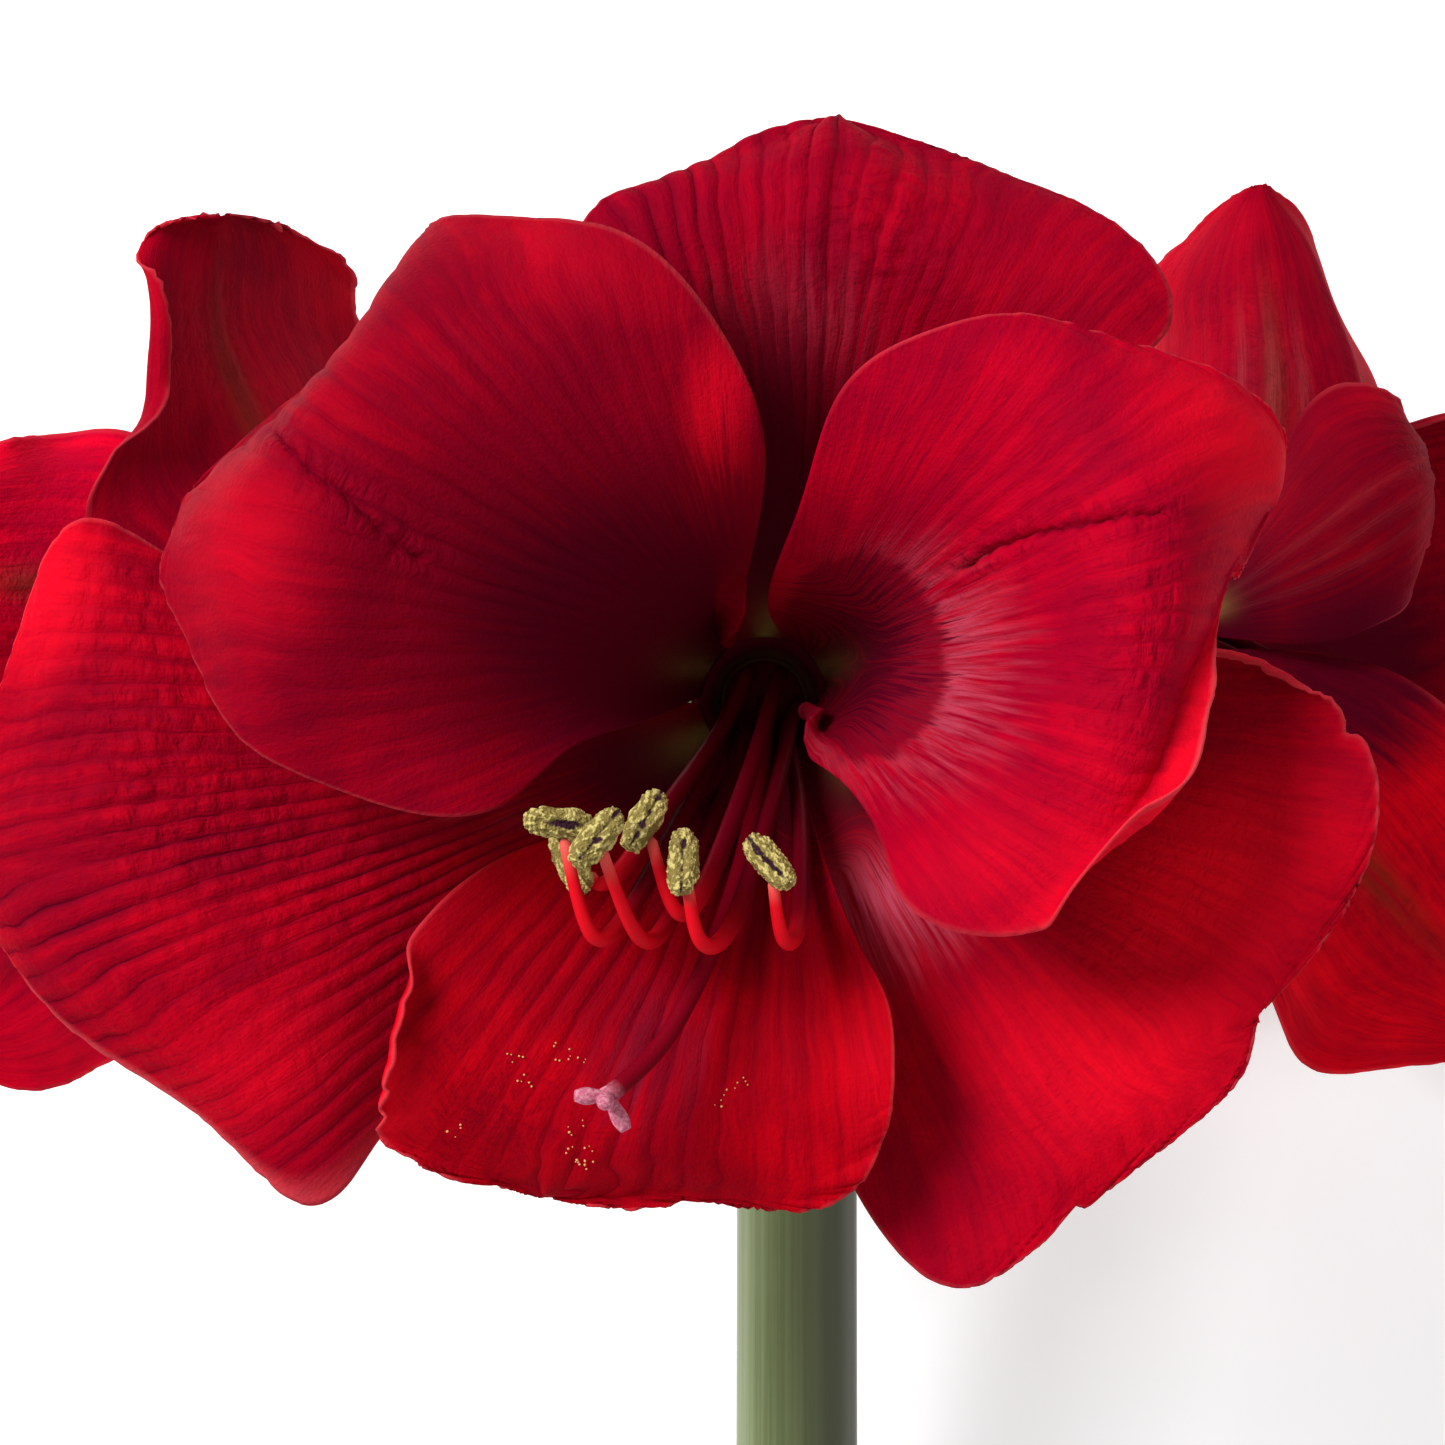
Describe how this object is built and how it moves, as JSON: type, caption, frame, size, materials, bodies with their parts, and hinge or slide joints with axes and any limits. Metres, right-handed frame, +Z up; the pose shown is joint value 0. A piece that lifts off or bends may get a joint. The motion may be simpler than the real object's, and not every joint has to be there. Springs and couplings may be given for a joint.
{
  "type": "cut amaryllis stem",
  "caption": "Cut amaryllis stem lying on its side: a thick green scape with open deep red trumpet blooms, their yellow anthers and long style showing.",
  "frame": {"origin": "on the surface that the stem lies on, under the middle of its bounding box", "axes": "+Z up from that surface, +Y from the cut end of the scape towards the blooms, +X to the right seen from above with the blooms at the top"},
  "size_m": [0.2824, 0.381, 0.2103],
  "materials": {
    "scape": "satin",
    "pedicel": "satin",
    "bract": "matte",
    "petal": "satin",
    "filament": "satin",
    "style": "satin",
    "pollen": "matte"
  },
  "bodies": {
    "root": {"bract_left": "bract", "bract_right": "bract", "front_anther_1": "pollen", "front_anther_2": "pollen", "front_anther_3": "pollen", "front_anther_4": "pollen", "front_anther_5": "pollen", "front_anther_6": "pollen", "front_filaments": "filament", "front_pedicel_and_tube": "pedicel", "front_petal_bottom_inner": "petal", "front_petal_lower_left_outer": "petal", "front_petal_lower_right_outer": "petal", "front_petal_top_outer": "petal", "front_petal_upper_left_inner": "petal", "front_petal_upper_right_inner": "petal", "front_pistil": "style", "left_anther_1": "pollen", "left_anther_2": "pollen", "left_anther_3": "pollen", "left_anther_4": "pollen", "left_anther_5": "pollen", "left_anther_6": "pollen", "left_filaments": "filament", "left_pedicel_and_tube": "pedicel", "left_petal_bottom_inner": "petal", "left_petal_lower_eye_outer": "petal", "left_petal_lower_floor_outer": "petal", "left_petal_top_outer": "petal", "left_petal_upper_eye_inner": "petal", "left_petal_upper_floor_inner": "petal", "left_pistil": "style", "right_anther_1": "pollen", "right_anther_2": "pollen", "right_anther_3": "pollen", "right_anther_4": "pollen", "right_anther_5": "pollen", "right_anther_6": "pollen", "right_filaments": "filament", "right_pedicel_and_tube": "pedicel", "right_petal_bottom_inner": "petal", "right_petal_lower_eye_outer": "petal", "right_petal_lower_floor_outer": "petal", "right_petal_top_outer": "petal", "right_petal_upper_eye_inner": "petal", "right_petal_upper_floor_inner": "petal", "right_pistil": "style", "scape": "scape"}
  },
  "joints": []
}
